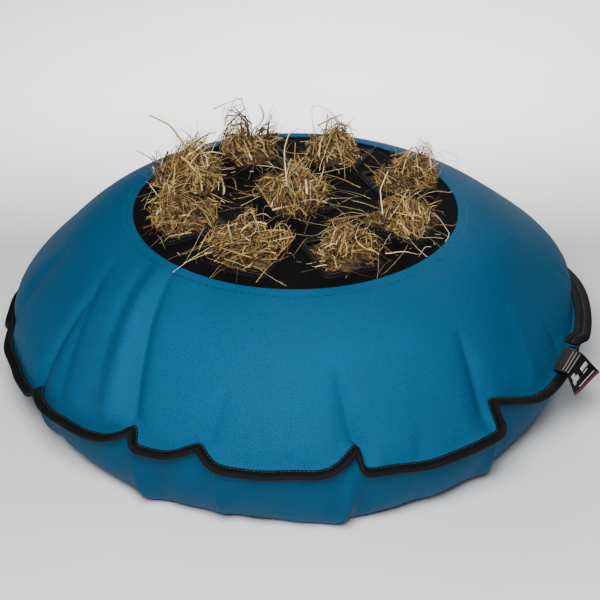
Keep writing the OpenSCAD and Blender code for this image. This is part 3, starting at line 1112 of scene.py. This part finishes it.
def tuft(rng, number):
    """Hay pulled up through a hole: clumps of straws that lean their own ways, over a dense core."""
    wide, height, lean_x, lean_y, count = TUFTS[number]
    hole = np.array(HOLES[number][:2])
    name = f"hay_tuft_{number + 1}"
    foot = float(panel_height(hole[0] + HOLE_SIDE * 0.6, hole[1])) - 0.001
    lean = np.array([lean_x, lean_y, 0])
    centre = np.array([*hole, foot])
    tuft_core(name + "_core", centre + lean * 0.2, height * 0.20, rng)
    turns = np.degrees(np.arange(CLUMPS) * 2.4 + rng.uniform(0, 6.28))
    away = polar(wide * np.linspace(0.12, 0.80, CLUMPS), turns, np.zeros(CLUMPS))
    middle = centre + lean * np.linspace(1.2, 0.2, CLUMPS)[:, None] + away
    spread = wide * rng.uniform(0.24, 0.46, CLUMPS)
    tall = height * np.append([1.0, 0.8], rng.uniform(0.25, 0.72, CLUMPS - 2))
    size = np.stack([spread, spread, tall], -1)
    turns = np.degrees(rng.uniform(0, 6.28, CLUMPS))
    main = unit(polar(np.ones(CLUMPS), turns, rng.uniform(0.0, 0.9, CLUMPS)))
    clump = rng.integers(0, CLUMPS, count)
    own = unit(rng.normal(size=(count, 3)) + [0, 0, 0.2])
    own[:, 2] = np.abs(own[:, 2])
    depth = rng.uniform(0.1, 1.0, count) ** 0.6
    starts = middle[clump] + own * depth[:, None] * size[clump]
    stray = (rng.random(count) < 0.22)[:, None]
    ways = unit(main[clump] + rng.normal(size=(count, 3)) * np.where(stray, 1.2, 0.30))
    ways = ways - own * ((ways * own).sum(-1, keepdims=True) * rng.uniform(0.2, 0.9, (count, 1)))
    lengths = rng.gamma(4.0, 0.0088, count) + 0.008
    starts = starts - unit(ways) * (lengths * 0.45)[:, None]
    widths = rng.choice(STRAW_WIDTHS, count, p=STRAW_SHARES)
    limit = rng.choice([1.0, 1.35, 2.2], count, p=[0.52, 0.32, 0.16])
    spills = rng.random(count) < 0.16

    def settle(path):
        q = (path - middle[clump][:, None]) / size[clump][:, None]
        over = np.maximum(np.linalg.norm(q, axis=-1) / limit[:, None], 1)
        path = q / (over**0.8)[..., None] * size[clump][:, None] + middle[clump][:, None]
        ground = panel_height(path[..., 0], path[..., 1]) + 0.001
        # Low down, the hay keeps to the shape of the square hole that it comes out of
        outside = hole_distance(path[..., 0], path[..., 1], number)
        room = 0.001 + 0.8 * np.maximum(path[..., 2] - ground, 0) + np.where(spills, 0.03, 0)[:, None]
        pull = np.minimum(1, (HOLE_SIDE / 2 + room) / (HOLE_SIDE / 2 + np.maximum(outside, 0)))
        path[..., :2] = hole + (path[..., :2] - hole) * pull[..., None]
        inside = hole_distance(path[..., 0], path[..., 1], number) < -0.002
        path[..., 2] = np.maximum(path[..., 2], np.where(inside, ground - 0.02, ground))
        return path

    made = straws(rng, starts, ways, lengths, widths, 0.8, settle)
    # Straws deep in the tuft take mostly the dark and brown tones and never the pale one: painted shade of
    # the tuft's interior. Straws further out keep the hay's own mix of tones
    outer = tone_of(rng, count, (0.34, 0.26, 0.14, 0.14, 0.12))
    inner_painted_shade_tones = tone_of(rng, count, (0.08, 0.32, 0.0, 0.08, 0.52))
    straw_object(name + "_straw", made, np.where(depth < 0.76, inner_painted_shade_tones, outer), name)


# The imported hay
HAY_FLOOR = 0.004  # height of its underside
HAY_UNDER_PANEL = 0.0085
HAY_INSET = 0.0150  # depth inside the covers
HAY_INSET_LOW, HAY_LOW_Z = 0.022, 0.085  # how much deeper it lies at the ground, and where that ends


def hay_body(top_rows, side_rows):
    """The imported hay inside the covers, a little way in from them."""
    rng = np.random.default_rng(5)
    columns = COLUMNS // 2
    r = np.linspace(0.004, EDGE_R - 0.002, 30)[:, None]
    under_panel = polar(r, ring_turns(columns), top_in(r) - HAY_UNDER_PANEL)
    cover = np.concatenate([top_rows[:-9], side_rows[-7:8:-1]])[:, ::2]
    cover = smooth_rows(cover, 3.0)
    for _ in range(4):
        cover[1:-1] = (cover[:-2] + 2 * cover[1:-1] + cover[2:]) / 4
    normal = unit(np.cross(np.gradient(cover, axis=0), np.roll(cover, -1, 1) - np.roll(cover, 1, 1)))
    bumps = lumps(cover, rng, (0.09, 0.035, 0.014), (0.0030, 0.0018, 0.0010))
    inset = HAY_INSET + HAY_INSET_LOW * np.clip(1 - cover[..., 2] / HAY_LOW_Z, 0, 1)
    cover = cover - normal * (inset + bumps)[..., None]
    low = [cover[-1] * [k, k, 0] + [0, 0, HAY_FLOOR] for k in (0.96, 0.8, 0.6, 0.4, 0.2, 0.02)]
    cover[..., 2] = np.maximum(cover[..., 2], HAY_FLOOR)
    grid = np.concatenate([under_panel, cover, low])
    body = mesh_object("hay_fill_lumps", grid, closed_grid_faces(len(grid), columns), HAY_MASS)
    fixed(body, "hay_fill")


def mouth_hay():
    """Straws of the filling that show when the mouth is open."""
    rng = np.random.default_rng(17)
    count = 1500
    turn = MOUTH_DIR + rng.uniform(-32, 32, count)
    z = rng.uniform(0.06, 0.155, count)
    r = np.minimum(0.329, 0.322 + 0.006 * rng.random(count)) - np.maximum(0, z - 0.125) * 0.9
    starts = polar(r, turn, z)
    outward = polar(np.ones(count), turn, np.zeros(count))
    ways = unit(np.cross(outward, rng.normal(size=(count, 3))))
    ways = ways + outward * rng.uniform(-0.1, 0.15, count)[:, None]
    lengths = rng.uniform(0.02, 0.06, count)
    starts = starts - unit(ways) * lengths[:, None] / 2
    widths = rng.choice([0.001, 0.0016, 0.0026], count)
    # The furthest out that a straw may lie, by height
    cap_z, cap_r = [0.02, 0.06, 0.11, 0.13, 0.16], [0.29, 0.318, 0.334, 0.322, 0.296]

    def settle(path):
        cap = np.minimum(0.333, np.interp(path[..., 2], cap_z, cap_r))
        path[..., :2] *= np.minimum(1, cap / np.hypot(path[..., 0], path[..., 1]))[..., None]
        under = top_in(np.hypot(path[..., 0], path[..., 1])) - 0.003
        path[..., 2] = np.minimum(path[..., 2], under)
        return path

    made = straws(rng, starts, ways, lengths, widths, 0.7, settle)
    straw_object("mouth_hay_straw", made, tone_of(rng, count, (0.36, 0.24, 0.16, 0.08, 0.16)))


def surface_finder(*objects):
    """A function that gives the height of the objects' upper surface at x and y."""
    parts = []
    for o in objects:
        verts = np.array([v.co for v in o.data.vertices], float)
        parts.append((verts, [list(p.vertices) for p in o.data.polygons]))
    verts, faces = joined(parts)
    tree = BVHTree.FromPolygons(verts.tolist(), faces)

    def height(x, y):
        hit = tree.ray_cast(Vector((x, y, 1.0)), Vector((0, 0, -1)))
        return hit[0].z if hit[0] is not None else CROWN_Z - 0.002

    return height


def loose_hay(height):
    """Straws and chaff that lie on the panel and a little on the cover."""
    rng = np.random.default_rng(23)
    spots = []
    for (cx, cy, _), (wide, _, lean_x, lean_y, straw_count) in zip(HOLES, TUFTS):
        many = straw_count // 26
        a = rng.uniform(0, 2 * math.pi, many)
        away = wide + rng.exponential(0.014, many) - 0.008
        spots.append(np.stack([cx + lean_x + away * np.cos(a), cy + lean_y + away * np.sin(a)], -1))
    spots.append(rng.uniform(-0.17, 0.17, (170, 2)))
    xy = np.concatenate(spots)
    xy = xy[np.hypot(*xy.T) < 0.188]
    count = len(xy)
    a = rng.uniform(0, 2 * math.pi, count)
    ways = np.stack([np.cos(a), np.sin(a), np.zeros(count)], -1)
    lengths = rng.gamma(3.0, 0.013, count) + 0.008
    chaff = rng.random(count) < 0.42
    lengths[chaff] = rng.uniform(0.003, 0.009, chaff.sum())
    widths = rng.choice([0.0005, 0.0007, 0.0011], count)
    lifted = np.where(chaff, 0.0, rng.uniform(0, 0.006, count))
    starts = np.stack([xy[:, 0], xy[:, 1], np.full(count, 0.25)], -1) - ways * lengths[:, None] / 2

    def settle(path):
        size = np.hypot(path[..., 0], path[..., 1])
        path[..., :2] *= np.minimum(1, 0.197 / np.maximum(size, 1e-6))[..., None]
        rise = lifted[:, None] * np.sin(np.linspace(0.3, 3.0, path.shape[1]))[None, :] ** 2
        ground = np.array([[height(x, y) for x, y in row[:, :2]] for row in path])
        path[..., 2] = ground + 0.0007 + rise
        return path

    made = straws(rng, starts, ways, lengths, widths, 0.7, settle)
    straw_object("loose_hay_straw", made, tone_of(rng, count, (0.20, 0.12, 0.34, 0.28, 0.06)))


# Single long straws that stand out of the hay: width, tone, points along it
STALKS = [
    (0.0036, 0, [
        (-0.112, 0.055, 0.270), (-0.135, 0.055, 0.297), (-0.153, 0.055, 0.326), (-0.177, 0.055, 0.339),
    ]),
    (0.0013, 4, [(-0.1045, 0.128, 0.314), (-0.086, 0.128, 0.323), (-0.0675, 0.128, 0.329)]),
    (0.0014, 3, [
        (0.026, 0.124, 0.262), (0.022, 0.128, 0.290), (0.020, 0.128, 0.318), (0.031, 0.128, 0.320),
        (0.046, 0.126, 0.306),
    ]),
    (0.0013, 2, [
        (-0.052, -0.090, 0.262), (-0.093, -0.115, 0.2545), (-0.120, -0.150, 0.2535),
        (-0.1366, -0.172, 0.251),
    ]),
    (0.0012, 2, [(-0.050, -0.110, 0.262), (-0.091, -0.128, 0.2545), (-0.125, -0.155, 0.2535)]),
    (0.0022, 2, [
        (-0.010, -0.010, 0.275), (-0.0136, 0.010, 0.314), (-0.008, 0.012, 0.334), (0.0044, 0.014, 0.341),
    ]),
    (0.0026, 0, [(0.006, -0.004, 0.270), (-0.001, 0.004, 0.305), (0.000, 0.006, 0.326)]),
    (0.0028, 2, [(0.103, -0.058, 0.262), (0.0996, -0.045, 0.289), (0.1085, -0.040, 0.311)]),
    (0.0013, 0, [
        (0.150, 0.052, 0.280), (0.1805, 0.055, 0.291), (0.199, 0.055, 0.286), (0.201, 0.050, 0.272),
    ]),
    (0.0014, 2, [(-0.130, -0.056, 0.255), (-0.160, -0.040, 0.275), (-0.172, -0.034, 0.290)]),
    (0.0010, 2, [(0.095, -0.140, 0.256), (0.072, -0.110, 0.258), (0.060, -0.080, 0.256)]),
    (0.0010, 3, [(-0.020, -0.090, 0.258), (0.020, -0.100, 0.257), (0.040, -0.085, 0.256)]),
]


def stalks():
    rng = np.random.default_rng(3)
    parts, tones = [], []
    for width, tone, points in STALKS:
        points = np.array(points)
        at = np.linspace(0, len(points) - 1, 17)
        path = np.stack([np.interp(at, np.arange(len(points)), points[:, k]) for k in range(3)], -1)
        path[1:-1] = (path[:-2] + 2 * path[1:-1] + path[2:]) / 4
        heading = unit(np.gradient(path, axis=0))
        flat = unit(np.cross(heading, rng.normal(size=3)))
        thin = np.cross(heading, flat)
        girth = width / 2 * np.linspace(1, 0.55, len(path))[:, None]
        corners = np.radians([0, 72, 144, 216, 288])
        ring = [path + (flat * math.cos(a) + thin * math.sin(a) * 0.6) * girth for a in corners]
        parts.append(sweep(np.stack(ring, 1)))
        tones += [tone] * len(parts[-1][1])
    fixed(mesh_object("long_stalks", *joined(parts), HAY_TONES, tones=tones))


# ---------------------------------------------------------------- label


LABEL_W, LABEL_T = 0.050, 0.0016
LABEL_SEAT, LABEL_DROP = 0.0180, 0.0310  # lengths of the sewn-in part and of the hanging part
LABEL_RUN = LABEL_SEAT + LABEL_DROP
LABEL_SEAT_SLOPE, LABEL_SLOPE = 5, 54
LABEL_START_R, LABEL_START_Z = SEAM_R - 0.005, 0.1125


def label_path(share, lift):
    """Radius and height of the label from its sewn edge to its fold, lift above its lower face."""
    along = np.linspace(0, LABEL_RUN, 200)
    bend = np.clip((along - LABEL_SEAT + 0.008) / 0.016, 0, 1)
    slope = np.radians(LABEL_SEAT_SLOPE + (LABEL_SLOPE - LABEL_SEAT_SLOPE) * bend**2 * (3 - 2 * bend))
    step = along[1]
    r = LABEL_START_R + np.cumsum(np.cos(slope)) * step - step
    z = LABEL_START_Z - np.cumsum(np.sin(slope)) * step
    here = share * LABEL_RUN
    angle = np.interp(here, along, slope)
    return np.interp(here, along, r) + np.sin(angle) * lift, np.interp(here, along, z) + np.cos(angle) * lift


def label_point(u, v, lift):
    """A place on the label: u across it from -1 to 1, v from its sewn edge at 0 to its fold at 1."""
    r, z = label_path(v, lift)
    curl = 0.0034 * v**2 * np.sin(u * 1.8 + 0.4) + 0.0018 * v * u**2
    side = u * LABEL_W / 2
    r = r + 0.008 * u * v**1.5
    a = math.radians(LABEL_DIR)
    x = r * math.cos(a) - side * math.sin(a)
    y = r * math.sin(a) + side * math.cos(a)
    return np.stack([x, y, z + curl], -1)


def label_patch(u0, u1, v0, v1, nu=8, nv=3):
    """A thin printed block on the label's upper face."""
    u, v = np.meshgrid(np.linspace(u0, u1, nu), np.linspace(v0, v1, nv))
    body = np.concatenate([label_point(u, v, LABEL_T + h).reshape(-1, 3) for h in (0.00022, 0.00002)])
    n = nu * nv
    numbers = np.arange(n).reshape(nv, nu)
    edge = [*numbers[0], *numbers[1:, -1], *numbers[-1, -2::-1], *numbers[-2:0:-1, 0]]
    faces = grid_faces(nv, nu, ring=False)
    faces += [[f + n for f in q][::-1] for q in faces]
    faces += [[int(k) for k in (a, b, b + n, a + n)] for a, b in zip(edge, edge[1:] + edge[:1])]
    return body, faces


def side_label():
    rows, columns = 26, 25
    u = np.linspace(-1, 1, columns)
    layers, uvs = [], []
    for side, lift, ends in ((0, 0.0, (0, 1)), (1, LABEL_T, (1, 0))):
        for k in np.linspace(*ends, rows):
            near_fold = np.clip((1 - k) / 0.05, 0, 1) ** 0.5
            layers.append(label_point(u, np.full(columns, k), LABEL_T / 2 + (lift - LABEL_T / 2) * near_fold))
            uvs.append(np.stack([u * LABEL_W / 2, np.full(columns, k * 0.0425 + side * 0.1)], -1))
    faces = grid_faces(len(layers), columns, ring=False, flip=True)
    tones = [1 if rows - 3 <= f[0] // columns <= rows + 1 else 0 for f in faces]
    label = mesh_object("side_label_cloth", layers, faces, [LABEL_CLOTH, LABEL_FOLD], uvs, tones=tones)
    fixed(label, "side_label", body="label")
    bars = [label_patch(-0.86, 0.9, v, v + 0.028) for v in (0.22, 0.29, 0.36)]
    blocks = [
        label_patch(-0.80, -0.45, 0.50, 0.62), label_patch(-0.70, -0.25, 0.60, 0.72),
        label_patch(-0.84, -0.62, 0.64, 0.76), label_patch(0.12, 0.78, 0.56, 0.66),
        label_patch(0.12, 0.55, 0.70, 0.725), label_patch(-0.55, 0.80, 0.86, 0.885),
    ]
    stripes = mesh_object("label_stripes", *joined(bars), LABEL_STRIPE)
    shapes = mesh_object("label_shapes", *joined(blocks), LABEL_PRINT)
    for piece in (stripes, shapes):
        fixed(piece, body="label")


# ---------------------------------------------------------------- camera, light and floor


# Area lights: place, what they point at, size, power
LIGHTS = {
    "key": ((-0.10, -1.20, 1.25), (0, -0.05, 0.12), 0.6, 42),
    "backdrop": ((0, 0.75, 1.2), (0, 1.75, 0.85), 1.6, 60),
    "top": ((-0.2, 0.2, 2.4), (0, 0, 0.1), 1.6, 4),
    "back": ((0.6, 2.2, 1.3), (0, 0, 0.1), 1.2, 26),
}
FLOOR_HALF, FLOOR_Z = 6, -0.0005
# Camera: place, tilt up from straight down, focal length and sensor in millimetres
CAMERA_AT, CAMERA_TILT = (0.0056, -1.6, 1.09), 58.5
CAMERA_LENS, CAMERA_SENSOR = 89.1, 36


def studio():
    cam = bpy.data.cameras.new("camera")
    cam.lens, cam.sensor_width = CAMERA_LENS, CAMERA_SENSOR
    ob = bpy.data.objects.new("camera", cam)
    bpy.context.collection.objects.link(ob)
    ob.location = CAMERA_AT
    ob.rotation_euler = (math.radians(CAMERA_TILT), 0, 0)
    bpy.context.scene.camera = ob

    world = bpy.data.worlds.new("studio")
    world.use_nodes = True
    background = world.node_tree.nodes["Background"]
    background.inputs["Color"].default_value = (0.95, 0.97, 1.0, 1)
    background.inputs["Strength"].default_value = 0.07
    bpy.context.scene.world = world

    for name, (place, aim, size, power) in LIGHTS.items():
        light = bpy.data.lights.new(name, "AREA")
        light.shape, light.size, light.energy = "SQUARE", size, power
        lamp = bpy.data.objects.new(name, light)
        bpy.context.collection.objects.link(lamp)
        lamp.location = place
        lamp.rotation_euler = (Vector(aim) - Vector(place)).to_track_quat("-Z", "Y").to_euler()

    mat, tree, shader = material("pale_floor", 0.9)
    stops = [(0.3, (0.9, 0.9, 0.9, 1)), (0.7, (0.94, 0.94, 0.94, 1))]
    paint(tree, shader, noise_of(tree, object_place(tree), 3.0), stops)
    corners = [(-1, -1), (1, -1), (1, 1), (-1, 1)]
    verts = [(x * FLOOR_HALF, y * FLOOR_HALF, FLOOR_Z) for x, y in corners]
    mesh_object("floor", verts, [[0, 1, 2, 3]], mat, smooth=False)


# ---------------------------------------------------------------- the whole bag


studio()
top, top_rows = top_cover()
bottom, side_rows = bottom_cover()
fixed(bottom, "bottom_cover")
rim_binding()
fold_from, fold_to = polar(np.array([FOLD_X, LIP_R - 0.02]), MOUTH_DIR, 0.12)
for piece in lip(*UPPER_LIP, wide=True):
    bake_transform(piece)
for piece in lip(*LOWER_LIP, wide=False):
    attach(piece, "root")
mouth_tack("mouth_tack_front", MOUTH_ENDS[0] - 1.2)
mouth_tack("mouth_tack_rear", MOUTH_ENDS[1] + 1.2)
hay_body(top_rows, side_rows)
panel = feed_panel()
for number in range(len(HOLES)):
    hole_tape(number)
side_label()
tuft_rng = np.random.default_rng(41)
for number in range(len(HOLES)):
    tuft(tuft_rng, number)
mouth_hay()
loose_hay(surface_finder(top, panel))
stalks()
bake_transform(top)
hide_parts("top_cover", "mouth_flap")
